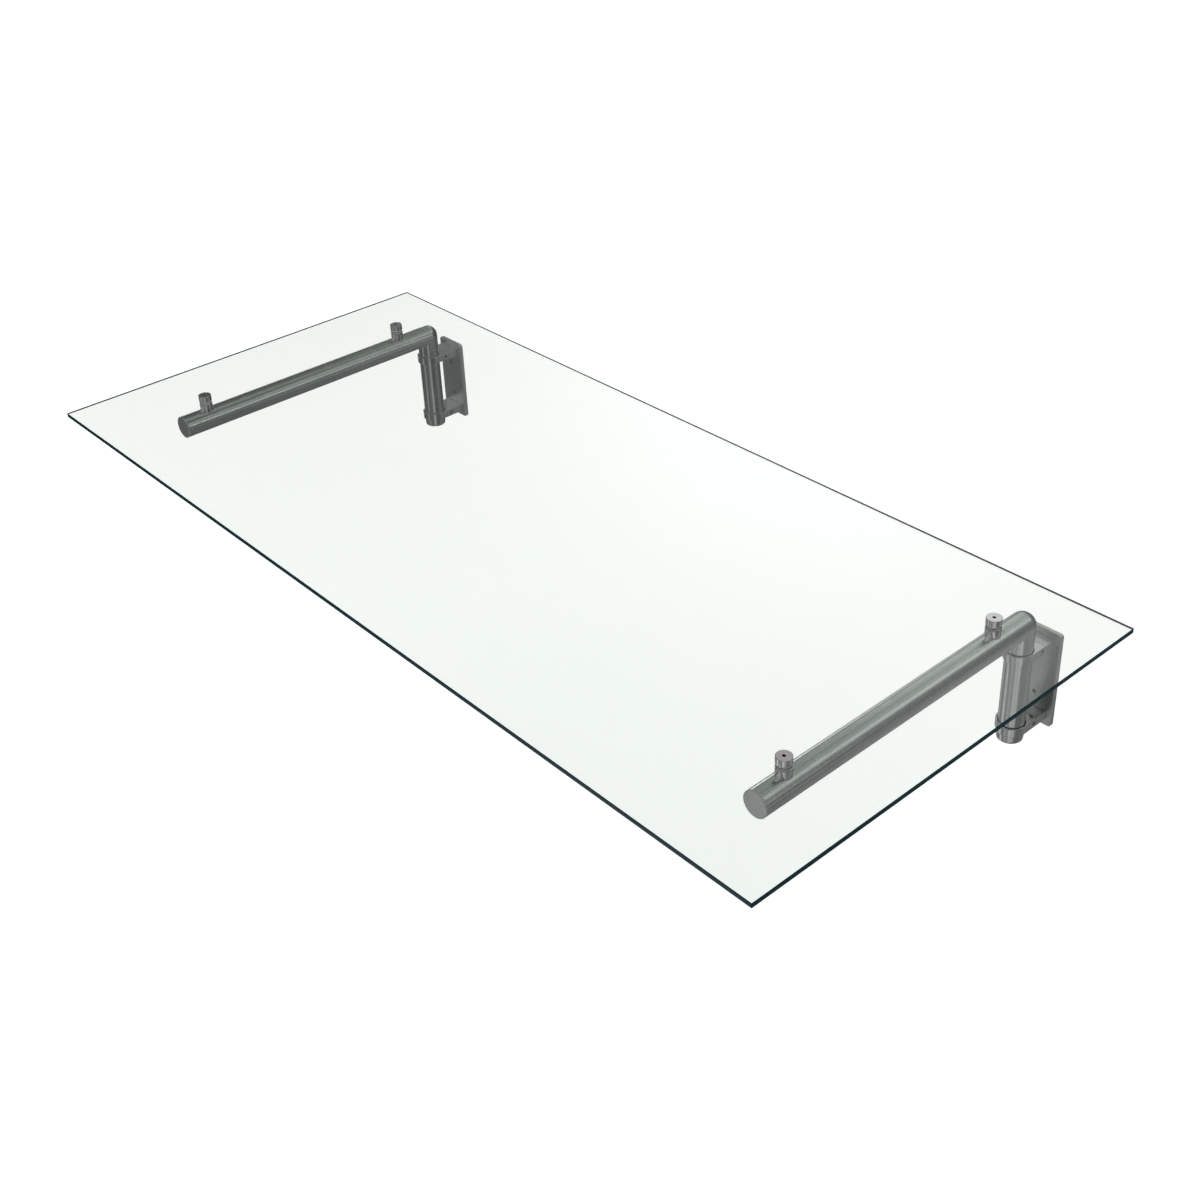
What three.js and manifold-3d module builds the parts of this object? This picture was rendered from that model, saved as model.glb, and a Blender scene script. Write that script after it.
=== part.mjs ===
// Glass canopy shelf on two wall brackets, in millimetres.
// +X runs along the shelf, +Y into the wall, +Z up. The origin lies on the wall plane, midway
// between the two wall plates and at the height of their centres.
import * as THREE from 'three';
import { mergeVertices } from 'three/addons/utils/BufferGeometryUtils.js';
import Module from 'manifold-3d';

const wasm = await Module();
wasm.setup();

// Assembly
const GAP = 0.3;                    // clearance between pieces that touch
const BRACKET_X = 752;              // each bracket's distance from the middle of the shelf
const POST_Y = -64;                 // upright tube's axis, in front of the wall
const ARM_Z = 117.5;                // arm's axis, above the plate's centre
const ARM_FRONT_Y = -644;           // front end of the arm

// Glass panel
const PANEL_WIDTH = 1800;
const PANEL_DEPTH = 800;
const PANEL_THICK = 8;
const PANEL_TOP_Z = 160;
const PANEL_REAR_Y = -5;            // the panel stops this far short of the wall
const PANEL_ARRIS = 0.8;
const PANEL_HOLE_R = 8;

// Round tube of the arms and uprights
const TUBE_R = 21.2;
const TUBE_BORE_R = 19.2;

// Wall plate
const PLATE_WIDTH = 70;
const PLATE_HEIGHT = 170;
const PLATE_THICK = 8;
const PLATE_CORNER_R = 5;
const PLATE_CHAMFER = 1.2;
const FIXING_HOLE_R = 3.5;
const FIXING_HOLE_Z = 36;           // fixing holes above and below the plate's centre

// Lugs that hold the upright: a rear block on the plate and a ring clamp in front of it
const LUG_WIDTH = 49;
const LUG_THICK = 15;
const LUG_Z = 66.5;                 // lug centres above and below the plate's centre
const LUG_SPLIT_Y = -31.5;          // joint between the block and the clamp
const RING_R = LUG_WIDTH / 2;

// Screws of the lugs
const TIE_R = 5;
const TIE_HEAD_R = 9;
const TIE_HEAD_DEPTH = 4;
const TIE_FRONT_Y = -41.2;
const SET_SCREW_R = 3;
const SET_SCREW_Y = -37.5;
const SET_SCREW_SOCKET_R = 1.7;
const SET_SCREW_SOCKET_DEPTH = 3;

// Upright and its lower cap
const POST_TOP_Z = 66.5;            // joint with the elbow, inside the upper ring
const POST_BOTTOM_Z = -86.5;
const POST_CAP_BOTTOM_Z = -90;
const POST_CAP_R = 20.8;
const POST_CAP_CHAMFER = 1.6;

// Elbow and plugs, with the spigots that enter the tubes
const ELBOW_FRONT_Y = -122;         // joint with the arm
const ELBOW_BORE_R = 15;
const SPIGOT_R = TUBE_BORE_R - GAP;
const ELBOW_SPIGOT = 9;
const PLUG_SPIGOT = 12;
const PLUG_DISC = 3;
const PLUG_CHAMFER = 0.6;

// Clamping pegs that carry the glass
const PEG_Y = [['front', -589], ['rear', -139]];
const PEG_R = 12.2;
const PEG_BORE_R = 4.3;
const GASKET_R = 12;
const GASKET_THICK = 1;
const SLEEVE_R = 7.6;
const CAP_TOP_Z = 172.3;
const CAP_CHAMFER = 0.9;
const CAP_SOCKET_R = 2.9;           // hexagon socket, across corners / 2
const CAP_SOCKET_DEPTH = 3.5;
const STUD_R = 4;
const STUD_TOP_Z = 166.6;
const STUD_BOTTOM_Z = 124;
const NUT_R = 7;
const NUT_BOTTOM_Z = 127;

// Facets of round surfaces
const TUBE_SIDES = 24;
const PEG_SIDES = 16;
const SCREW_SIDES = 12;

const STEEL = { color: 0x8f9492, roughness: 0.35, metalness: 1 };
const POLISHED = { color: 0xb4b2b3, roughness: 0.12, metalness: 1 };
const DARK_STEEL = { color: 0x55585a, roughness: 0.45, metalness: 1 };
const GLASS = { color: 0xdcebe4, roughness: 0.03, metalness: 0, transparent: true, opacity: 0.35 };
const WASHER = { color: 0xb4bab6, roughness: 0.4, metalness: 0, transparent: true, opacity: 0.7 };
const NYLON = { color: 0xd8dad6, roughness: 0.6, metalness: 0 };

const shelf = new THREE.Group();
shelf.name = 'glass_wall_shelf';

// A closed three.js geometry as a manifold solid
function solidOf(geometry) {
  geometry.deleteAttribute('normal');
  geometry.deleteAttribute('uv');
  const welded = mergeVertices(geometry, 1e-4);
  return new wasm.Manifold(new wasm.Mesh({
    numProp: 3,
    vertProperties: new Float32Array(welded.attributes.position.array),
    triVerts: new Uint32Array(welded.index.array),
  }));
}

function geometryOf(solid) {
  const { vertProperties, triVerts } = solid.getMesh();
  const geometry = new THREE.BufferGeometry();
  geometry.setAttribute('position', new THREE.BufferAttribute(new Float32Array(vertProperties), 3));
  geometry.setIndex(new THREE.BufferAttribute(new Uint32Array(triVerts), 1));
  geometry.computeVertexNormals();
  return geometry;
}

// Solid of revolution about an upright axis: profile points are [radius, height]
function turned(profile, sides) {
  const points = profile.map(([radius, height]) => new THREE.Vector2(radius, height));
  return new THREE.LatheGeometry(points, sides).rotateX(Math.PI / 2);
}

function rod(radius, low, high, sides) {
  return turned([[0, low], [radius, low], [radius, high], [0, high]], sides);
}

function ring(inner, outer, low, high, sides) {
  return turned([[inner, low], [outer, low], [outer, high], [inner, high], [inner, low]], sides);
}

// Turns an upright shape so that its axis lies along +Y, or along +X
const alongY = (geometry) => geometry.rotateX(-Math.PI / 2);
const alongX = (geometry) => geometry.rotateY(Math.PI / 2);

function rodAlongY(radius, start, end, sides) {
  return alongY(rod(radius, start, end, sides));
}

function addPiece(parent, name, geometry, finish, place = [0, 0, 0]) {
  const piece = new THREE.Mesh(geometry, new THREE.MeshStandardMaterial(finish));
  piece.name = name;
  piece.position.set(...place);
  parent.add(piece);
}

function glassPanel() {
  const [halfWidth, rear, front] = [PANEL_WIDTH / 2, PANEL_REAR_Y, PANEL_REAR_Y - PANEL_DEPTH];
  const outline = new THREE.Shape([
    new THREE.Vector2(-halfWidth, front), new THREE.Vector2(halfWidth, front),
    new THREE.Vector2(halfWidth, rear), new THREE.Vector2(-halfWidth, rear),
  ]);
  for (const x of [-BRACKET_X, BRACKET_X]) {
    for (const [, y] of PEG_Y) {
      outline.holes.push(new THREE.Path().absarc(x, y, PANEL_HOLE_R, 0, 2 * Math.PI, true));
    }
  }
  return new THREE.ExtrudeGeometry(outline, {
    depth: PANEL_THICK - 2 * PANEL_ARRIS,
    curveSegments: PEG_SIDES,
    bevelThickness: PANEL_ARRIS,
    bevelSize: PANEL_ARRIS,
    bevelOffset: -PANEL_ARRIS,
    bevelSegments: 1,
  }).translate(0, 0, PANEL_TOP_Z - PANEL_THICK + PANEL_ARRIS);
}

// Rectangle with rounded corners, centred on the origin
function roundedRectangle(width, height, radius) {
  const [x, y] = [width / 2 - radius, height / 2 - radius];
  return new THREE.Shape()
    .absarc(x, y, radius, 0, Math.PI / 2)
    .absarc(-x, y, radius, Math.PI / 2, Math.PI)
    .absarc(-x, -y, radius, Math.PI, 1.5 * Math.PI)
    .absarc(x, -y, radius, 1.5 * Math.PI, 2 * Math.PI)
    .closePath();
}

// Plate with a chamfered front edge, two fixing holes and two countersunk holes at its back
function wallPlate() {
  const shrink = 2 * PLATE_CHAMFER;
  const slab = new THREE.ExtrudeGeometry(
    roundedRectangle(PLATE_WIDTH, PLATE_HEIGHT, PLATE_CORNER_R),
    { depth: PLATE_THICK - PLATE_CHAMFER, bevelEnabled: false, curveSegments: 4 },
  );
  const front = new THREE.ExtrudeGeometry(
    roundedRectangle(PLATE_WIDTH - shrink, PLATE_HEIGHT - shrink, PLATE_CORNER_R - PLATE_CHAMFER),
    {
      depth: PLATE_THICK - 2 * PLATE_CHAMFER,
      bevelThickness: PLATE_CHAMFER,
      bevelSize: PLATE_CHAMFER,
      bevelSegments: 1,
      curveSegments: 4,
    },
  ).translate(0, 0, PLATE_CHAMFER);
  let plate = solidOf(slab).add(solidOf(front));
  for (const z of [-FIXING_HOLE_Z, FIXING_HOLE_Z]) {
    const hole = rod(FIXING_HOLE_R, -1, PLATE_THICK + 1, PEG_SIDES).translate(0, z, 0);
    plate = plate.subtract(solidOf(hole));
  }
  for (const z of [-LUG_Z, LUG_Z]) {
    const hole = turned([
      [0, -1], [TIE_HEAD_R + GAP, -1], [TIE_HEAD_R + GAP, GAP],
      [TIE_R + GAP, GAP + TIE_HEAD_DEPTH], [TIE_R + GAP, PLATE_THICK + 1], [0, PLATE_THICK + 1],
    ], PEG_SIDES).translate(0, z, 0);
    plate = plate.subtract(solidOf(hole));
  }
  // Stood up, with the back face on the wall plane
  return geometryOf(plate).rotateX(Math.PI / 2);
}

// Rear block between the plate and the clamp, with a bore for the tie screw
function lugBlock() {
  const rear = -PLATE_THICK - GAP;
  const box = new THREE.BoxGeometry(LUG_WIDTH, rear - LUG_SPLIT_Y, LUG_THICK)
    .translate(0, (rear + LUG_SPLIT_Y) / 2, 0);
  const bore = rodAlongY(TIE_R + GAP, LUG_SPLIT_Y - 1, rear + 1, SCREW_SIDES);
  return geometryOf(solidOf(box).subtract(solidOf(bore)));
}

// Ring clamp round the upright, flat at the back, with bores for the tie and set screws
function lugClamp() {
  const rear = LUG_SPLIT_Y - GAP;
  const outline = new THREE.Shape()
    .moveTo(RING_R, rear)
    .lineTo(-RING_R, rear)
    .absarc(0, POST_Y, RING_R, Math.PI, 2 * Math.PI)
    .closePath();
  const body = new THREE.ExtrudeGeometry(outline, {
    depth: LUG_THICK, bevelEnabled: false, curveSegments: TUBE_SIDES / 2,
  }).translate(0, 0, -LUG_THICK / 2);
  const post = rod(TUBE_R + GAP, -LUG_THICK, LUG_THICK, TUBE_SIDES).translate(0, POST_Y, 0);
  const tie = rodAlongY(TIE_R + GAP, TIE_FRONT_Y - GAP, rear + 1, SCREW_SIDES);
  const set = alongX(rod(SET_SCREW_R + GAP, TIE_R, LUG_WIDTH, SCREW_SIDES))
    .translate(0, SET_SCREW_Y, 0);
  return geometryOf(
    solidOf(body).subtract(solidOf(post)).subtract(solidOf(tie)).subtract(solidOf(set)),
  );
}

// Countersunk screw from behind the plate, through the block and into the clamp
function tieScrew() {
  return alongY(turned([
    [0, TIE_FRONT_Y], [TIE_R, TIE_FRONT_Y], [TIE_R, -GAP - TIE_HEAD_DEPTH],
    [TIE_HEAD_R, -GAP], [0, -GAP],
  ], SCREW_SIDES));
}

// Grub screw with a hexagon socket, from the clamp's side to the tie screw
function setScrew() {
  const [inner, outer] = [TIE_R + 2 * GAP, RING_R - GAP];
  const body = alongX(rod(SET_SCREW_R, inner, outer, SCREW_SIDES));
  const socket = alongX(rod(SET_SCREW_SOCKET_R, outer - SET_SCREW_SOCKET_DEPTH, outer + 1, 6));
  return geometryOf(solidOf(body).subtract(solidOf(socket))).translate(0, SET_SCREW_Y, 0);
}

// Flanged cap: a disc across the tube's end with a chamfered rim, and a spigot inside the tube
function tubeCap(radius, disc, chamfer) {
  return turned([
    [0, 0], [radius - chamfer, 0], [radius, chamfer], [radius, disc],
    [SPIGOT_R, disc], [SPIGOT_R, disc + PLUG_SPIGOT], [0, disc + PLUG_SPIGOT],
  ], TUBE_SIDES);
}

// Square elbow with a ball corner, hollow from one spigot to the other
function elbow() {
  const reach = POST_Y - ELBOW_FRONT_Y - GAP;
  const drop = ARM_Z - POST_TOP_Z - GAP;
  const ball = (radius) => new THREE.SphereGeometry(radius, TUBE_SIDES, TUBE_SIDES / 2)
    .rotateX(Math.PI / 2);
  const legs = (radius, extra) => [
    rodAlongY(radius, -reach - extra, 0, TUBE_SIDES),
    rod(radius, -drop - extra, 0, TUBE_SIDES),
  ];
  let solid = solidOf(ball(TUBE_R));
  for (const leg of [...legs(TUBE_R, 0), ...legs(SPIGOT_R, ELBOW_SPIGOT)]) {
    solid = solid.add(solidOf(leg));
  }
  for (const core of [ball(ELBOW_BORE_R), ...legs(ELBOW_BORE_R, ELBOW_SPIGOT + 1)]) {
    solid = solid.subtract(solidOf(core));
  }
  return geometryOf(solid).translate(0, POST_Y, ARM_Z);
}

// Arm tube with a stud hole under each peg
function armTube() {
  const tube = alongY(ring(TUBE_BORE_R, TUBE_R, ARM_FRONT_Y + PLUG_DISC, ELBOW_FRONT_Y, TUBE_SIDES));
  let solid = solidOf(tube);
  for (const [, y] of PEG_Y) {
    const hole = rod(PEG_BORE_R + GAP, 0, 2 * TUBE_R, SCREW_SIDES).translate(0, y, 0);
    solid = solid.subtract(solidOf(hole));
  }
  return geometryOf(solid).translate(0, 0, ARM_Z);
}

// Peg body: stands on the arm in a saddle and carries the lower gasket
function pegBody() {
  const top = PANEL_TOP_Z - PANEL_THICK - GASKET_THICK - 2 * GAP;
  const body = ring(PEG_BORE_R, PEG_R, ARM_Z, top, PEG_SIDES);
  const arm = rodAlongY(TUBE_R + GAP, -2 * PEG_R, 2 * PEG_R, TUBE_SIDES).translate(0, 0, ARM_Z);
  return geometryOf(solidOf(body).subtract(solidOf(arm)));
}

function gasket(bottom) {
  return ring(PEG_BORE_R, GASKET_R, bottom, bottom + GASKET_THICK, PEG_SIDES);
}

// Cap over the glass, with a hexagon socket above and the stud's bore below
function pegCap() {
  const bottom = PANEL_TOP_Z + GASKET_THICK + 2 * GAP;
  const boreTop = STUD_TOP_Z + GAP;
  const body = turned([
    [0, boreTop], [PEG_BORE_R, boreTop], [PEG_BORE_R, bottom], [PEG_R, bottom],
    [PEG_R, CAP_TOP_Z - CAP_CHAMFER], [PEG_R - CAP_CHAMFER, CAP_TOP_Z], [0, CAP_TOP_Z],
  ], PEG_SIDES);
  const socket = rod(CAP_SOCKET_R, CAP_TOP_Z - CAP_SOCKET_DEPTH, CAP_TOP_Z + 1, 6);
  return geometryOf(solidOf(body).subtract(solidOf(socket)));
}

// Nut inside the arm, its top fitted to the tube's bore
function pegNut() {
  const body = ring(PEG_BORE_R, NUT_R, NUT_BOTTOM_Z, ARM_Z + TUBE_R, PEG_SIDES);
  const bore = rodAlongY(TUBE_BORE_R - GAP, -2 * NUT_R, 2 * NUT_R, TUBE_SIDES)
    .translate(0, 0, ARM_Z);
  return geometryOf(solidOf(body).intersect(solidOf(bore)));
}

function addPeg(parent, prefix, y) {
  const underside = PANEL_TOP_Z - PANEL_THICK;
  const at = [0, y, 0];
  addPiece(parent, `${prefix}_peg_body`, pegBody(), POLISHED, at);
  addPiece(parent, `${prefix}_lower_gasket`, gasket(underside - GAP - GASKET_THICK), WASHER, at);
  addPiece(
    parent, `${prefix}_sleeve`,
    ring(PEG_BORE_R, SLEEVE_R, underside, PANEL_TOP_Z, PEG_SIDES), NYLON, at,
  );
  addPiece(parent, `${prefix}_upper_gasket`, gasket(PANEL_TOP_Z + GAP), WASHER, at);
  addPiece(parent, `${prefix}_peg_cap`, pegCap(), POLISHED, at);
  addPiece(
    parent, `${prefix}_stud`,
    rod(STUD_R, STUD_BOTTOM_Z, STUD_TOP_Z, SCREW_SIDES), DARK_STEEL, at,
  );
  addPiece(parent, `${prefix}_nut`, pegNut(), DARK_STEEL, at);
}

function addLug(parent, prefix, z) {
  const at = [0, 0, z];
  addPiece(parent, `${prefix}_lug_block`, lugBlock(), STEEL, at);
  addPiece(parent, `${prefix}_ring_clamp`, lugClamp(), STEEL, at);
  addPiece(parent, `${prefix}_tie_screw`, tieScrew(), DARK_STEEL, at);
  addPiece(parent, `${prefix}_set_screw`, setScrew(), DARK_STEEL, at);
}

function addBracket(side, x) {
  const bracket = new THREE.Group();
  bracket.position.x = x;
  shelf.add(bracket);
  addPiece(bracket, `${side}_wall_plate`, wallPlate(), STEEL);
  addLug(bracket, `${side}_upper`, LUG_Z);
  addLug(bracket, `${side}_lower`, -LUG_Z);
  addPiece(
    bracket, `${side}_post_tube`,
    ring(TUBE_BORE_R, TUBE_R, POST_BOTTOM_Z + GAP, POST_TOP_Z, TUBE_SIDES), STEEL, [0, POST_Y, 0],
  );
  addPiece(
    bracket, `${side}_post_cap`,
    tubeCap(POST_CAP_R, POST_BOTTOM_Z - POST_CAP_BOTTOM_Z, POST_CAP_CHAMFER), STEEL,
    [0, POST_Y, POST_CAP_BOTTOM_Z],
  );
  addPiece(bracket, `${side}_elbow`, elbow(), STEEL);
  addPiece(bracket, `${side}_arm_tube`, armTube(), STEEL);
  addPiece(
    bracket, `${side}_arm_plug`,
    alongY(tubeCap(TUBE_R, PLUG_DISC - GAP, PLUG_CHAMFER)), STEEL, [0, ARM_FRONT_Y, ARM_Z],
  );
  for (const [end, y] of PEG_Y) {
    addPeg(bracket, `${side}_${end}`, y);
  }
}

addPiece(shelf, 'glass_panel', glassPanel(), GLASS);
addBracket('left', -BRACKET_X);
addBracket('right', BRACKET_X);

export default shelf;
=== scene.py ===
import math
import bmesh
import bpy
from mathutils import Matrix, Vector


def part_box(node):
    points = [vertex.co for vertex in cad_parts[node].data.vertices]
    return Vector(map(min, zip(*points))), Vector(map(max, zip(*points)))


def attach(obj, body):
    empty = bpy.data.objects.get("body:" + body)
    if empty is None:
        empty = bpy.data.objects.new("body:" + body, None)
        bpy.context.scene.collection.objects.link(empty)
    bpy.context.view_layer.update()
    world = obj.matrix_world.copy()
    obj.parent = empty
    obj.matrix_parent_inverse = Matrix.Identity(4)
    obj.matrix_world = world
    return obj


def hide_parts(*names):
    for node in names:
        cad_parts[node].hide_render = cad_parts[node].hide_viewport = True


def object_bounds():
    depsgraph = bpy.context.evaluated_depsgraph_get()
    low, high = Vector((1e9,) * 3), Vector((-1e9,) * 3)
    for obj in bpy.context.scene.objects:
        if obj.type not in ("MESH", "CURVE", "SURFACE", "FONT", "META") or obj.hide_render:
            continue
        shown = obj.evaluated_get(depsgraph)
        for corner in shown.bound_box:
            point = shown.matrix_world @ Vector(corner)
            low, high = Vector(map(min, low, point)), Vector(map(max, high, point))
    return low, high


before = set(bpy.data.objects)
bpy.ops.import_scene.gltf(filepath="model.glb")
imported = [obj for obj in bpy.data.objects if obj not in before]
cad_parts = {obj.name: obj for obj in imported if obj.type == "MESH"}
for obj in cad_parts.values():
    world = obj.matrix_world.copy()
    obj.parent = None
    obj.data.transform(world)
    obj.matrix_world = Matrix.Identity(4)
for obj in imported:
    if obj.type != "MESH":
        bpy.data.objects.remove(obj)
cad_low, cad_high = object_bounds()

MM = 0.001
SIDES = ("left", "right")
LEVELS = ("upper", "lower")
ENDS = ("front", "rear")

# Density of the meshes
TUBE_SEGMENTS = 96
PEG_SEGMENTS = 72
HOLE_SEGMENTS = 48
SIDE_HOLE_SEGMENTS = 32
ARC_STEPS = 48                            # half circle at the front of a clamp
ELBOW_STEPS = 16
SHARP_ANGLE = math.radians(32)
LONG_RUN = 2.0 * MM                       # straight runs longer than this get support points
SUPPORT = 0.25 * MM                       # how far those lie from the run's ends
SHOULDER = 0.3                            # softened edges bend once, at this part of their size
LEVEL_FACE = 0.99                         # normals at least this far along an axis are flat faces
SLOPING_FACE = 0.1                        # normals at least this far along Z are not upright faces
SAME_POINT = 1e-7                         # vertices closer than this are merged
ELBOW_MERGE = 1e-6                        # the same for the elbow's mitre

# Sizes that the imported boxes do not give
PANEL_HOLE_RADIUS = 8 * MM
PANEL_CORNER = 1.5 * MM
PANEL_ARRIS = 0.8 * MM
TUBE_WALL = 2 * MM
TUBE_LIP = 0.25 * MM                      # softened rim of a tube's cut end
FIT = 0.3 * MM                            # clearance at a spigot and at the elbow
DISC_CENTRE = 0.4 * MM                    # a turned face begins with a small flat in its middle
ARM_END_EDGE = 0.6 * MM
ARM_END_GAP = 0.05 * MM
POST_END_EDGE = 1.6 * MM
PLATE_CORNER = 5 * MM
PLATE_EDGE = 1.2 * MM
PLATE_BACK_EDGE = 0.3 * MM
FIXING_HOLE_RADIUS = 3.5 * MM
FIXING_HOLE_RIM = 0.4 * MM
FIXING_HOLE_BACK_RIM = 0.2 * MM
FIXING_HOLES_Z = (36 * MM, -36 * MM)      # from the plate's centre
TIE_HEAD_RADIUS = 9.3 * MM
TIE_BORE_RADIUS = 5.3 * MM
TIE_BORES_Z = (66.5 * MM, -66.5 * MM)
LUG_EDGE = 0.5 * MM
LUG_SMALL_FACE = 100 * MM * MM            # faces below this belong to the lug's softened edges
CLAMP_EDGE = 0.5 * MM
CLAMP_BORE_RADIUS = 21.5 * MM
CLAMP_LEAD_IN = 1.1 * MM                  # chamfer at both ends of the bore
CLAMP_LEAD_IN_BEND = 0.4                  # the chamfer bends once, at this part of its size
SET_BORE_RADIUS = 3.3 * MM
SET_BORE_RIM = 0.4 * MM
SET_BORE_DEPTH = 8 * MM
PEG_BORE_RADIUS = 4.3 * MM
PEG_EDGE = 0.5 * MM
SADDLE_GAP = 0.12 * MM                    # between the arm and the peg that sits on it
SADDLE_EDGE = 0.3 * MM
CAP_LOWER_EDGE = 0.4 * MM
SOCKET_RADIUS = 2.9 * MM                  # to the hexagon's corners
SOCKET_RIM = 0.35 * MM
SOCKET_DEPTH = 3.5 * MM
SOCKET_POINT = 1.0 * MM                   # cone left by the drill below the socket
SOCKET_CENTRE = 0.5 * MM
SOCKET_SHADE = 0.3 * MM                   # the inside of the socket is painted dark, as shade, from this far below the cap's top
SOCKET_REACH = 1.2                        # and out to this many times its radius
CAP_TOP_RING = 0.62                       # extra ring on the cap's top, as a part of its radius
GASKET_EDGE = 0.3 * MM

# ---------------------------------------------------------------- camera

CAMERA_AT = (1.8640, -1.8331, 1.5408)
CAMERA_HEADING = math.radians(49.91)      # turned left from looking along +Y
CAMERA_DIP = math.radians(30.41)          # looking down
CAMERA_ROLL = math.radians(-2.70)
CAMERA_LENS = 48.594                      # on a sensor of SENSOR_WIDTH
CAMERA_SHIFT = (0.00694, -0.08250)
SENSOR_WIDTH = 36

camera = bpy.data.objects.new("camera", bpy.data.cameras.new("camera"))
camera.data.sensor_width = SENSOR_WIDTH
camera.data.lens = CAMERA_LENS
camera.data.shift_x, camera.data.shift_y = CAMERA_SHIFT
camera.data.clip_start, camera.data.clip_end = 0.05, 100
camera.matrix_world = (
    Matrix.Translation(CAMERA_AT)
    @ Matrix.Rotation(CAMERA_HEADING, 4, "Z")
    @ Matrix.Rotation(math.pi / 2 - CAMERA_DIP, 4, "X")
    @ Matrix.Rotation(CAMERA_ROLL, 4, "Z")
)
bpy.context.scene.collection.objects.link(camera)
bpy.context.scene.camera = camera

# ---------------------------------------------------------------- materials


# Colour sockets of the Mix node, which has one set for each data type
MIX_FIRST, MIX_SECOND, MIX_RESULT = 6, 7, 2


class Nodes:
    """Short calls for building one material's node tree."""

    def __init__(self, name):
        self.material = bpy.data.materials.new(name)
        self.material.use_nodes = True
        self.tree = self.material.node_tree
        self.shader = self.tree.nodes["Principled BSDF"]
        self.output = self.tree.nodes["Material Output"]

    def add(self, kind, **settings):
        node = self.tree.nodes.new(kind)
        for key, value in settings.items():
            setattr(node, key, value)
        return node

    def link(self, source, target):
        self.tree.links.new(source, target)

    def where(self, scale=(1, 1, 1)):
        """Object coordinates in metres, stretched by scale."""
        coordinates = self.add("ShaderNodeTexCoord")
        mapping = self.add("ShaderNodeMapping")
        mapping.inputs["Scale"].default_value = scale
        self.link(coordinates.outputs["Object"], mapping.inputs["Vector"])
        return mapping.outputs["Vector"]

    def noise(self, scale, stretch=(1, 1, 1), detail=3.0, roughness=0.5):
        """Grey noise; scale counts features to the metre."""
        node = self.add("ShaderNodeTexNoise")
        node.inputs["Scale"].default_value = scale
        node.inputs["Detail"].default_value = detail
        node.inputs["Roughness"].default_value = roughness
        self.link(self.where(stretch), node.inputs["Vector"])
        return node.outputs["Fac"]

    def ramp(self, factor, stops):
        """Colour by factor; each stop is (position, colour)."""
        node = self.add("ShaderNodeValToRGB")
        elements = node.color_ramp.elements
        while len(elements) < len(stops):
            elements.new(0.5)
        for element, (position, colour) in zip(elements, stops):
            element.position = position
            element.color = (*colour, 1)
        self.link(factor, node.inputs["Fac"])
        return node.outputs["Color"]

    def span(self, factor, low, high, start=0.0, stop=1.0):
        """Maps start..stop to low..high."""
        node = self.add("ShaderNodeMapRange")
        node.inputs["From Min"].default_value = start
        node.inputs["From Max"].default_value = stop
        node.inputs["To Min"].default_value = low
        node.inputs["To Max"].default_value = high
        self.link(factor, node.inputs["Value"])
        return node.outputs["Result"]

    def mixed(self, factor, first, second, blend="MIX"):
        """Mixes two colours, each given as three numbers or as a socket."""
        node = self.add("ShaderNodeMix", data_type="RGBA", blend_type=blend)
        if isinstance(factor, float):
            node.inputs["Factor"].default_value = factor
        else:
            self.link(factor, node.inputs["Factor"])
        for index, value in ((MIX_FIRST, first), (MIX_SECOND, second)):
            if isinstance(value, tuple):
                node.inputs[index].default_value = (*value, 1)
            else:
                self.link(value, node.inputs[index])
        return node.outputs[MIX_RESULT]

    def bump(self, height, strength, distance):
        """Relief on the shader's normal."""
        node = self.add("ShaderNodeBump")
        node.inputs["Strength"].default_value = strength
        node.inputs["Distance"].default_value = distance
        self.link(height, node.inputs["Height"])
        self.link(node.outputs["Normal"], self.shader.inputs["Normal"])


LINE_SHADE = 0.20                         # how strongly the grinding lines darken the steel
LINE_TONES = [(0.3, (0.35,) * 3), (0.7, (1.0,) * 3)]    # groove and ridge
LINE_SHARE = 0.6                          # part of the roughness that follows the lines
QUARTER_TURN = 0.25                       # turns the anisotropy by 90 degrees


def brushed_steel(name, stretch, dark, light, rough, radial=None, anisotropic=0.0):
    """Stainless steel ground along fine lines; stretch is largest across the lines. With radial, an
    axis's name, the highlights also stretch round that axis."""
    n = Nodes(name)
    n.shader.inputs["Metallic"].default_value = 1.0
    lines = n.noise(1.0, stretch, detail=4.0, roughness=0.65)
    cloud = n.noise(22.0, detail=3.0)
    blotch = n.noise(140.0, detail=2.0)
    tone = n.mixed(cloud, dark, light)
    tone = n.mixed(LINE_SHADE, tone, n.ramp(lines, LINE_TONES), "MULTIPLY")
    n.link(tone, n.shader.inputs["Base Color"])
    mix = n.add("ShaderNodeMath", operation="MULTIPLY_ADD")
    n.link(lines, mix.inputs[0])
    mix.inputs[1].default_value = LINE_SHARE
    n.link(n.span(blotch, 0.0, 1 - LINE_SHARE), mix.inputs[2])
    n.link(n.span(mix.outputs["Value"], *rough), n.shader.inputs["Roughness"])
    n.bump(lines, strength=0.04, distance=0.03 * MM)
    if radial:
        n.shader.inputs["Anisotropic"].default_value = anisotropic
        n.shader.inputs["Anisotropic Rotation"].default_value = QUARTER_TURN
        tangent = n.add("ShaderNodeTangent", direction_type="RADIAL", axis=radial)
        n.link(tangent.outputs["Tangent"], n.shader.inputs["Tangent"])
    return n.material


STEEL_DARK = (0.495, 0.512, 0.503)
STEEL_LIGHT = (0.615, 0.633, 0.623)
STEEL_ROUGH = (0.08, 0.22)
FLAT_ROUGH = (0.20, 0.38)
STRETCHED = 0.6                           # how far highlights stretch round a turned surface

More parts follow.
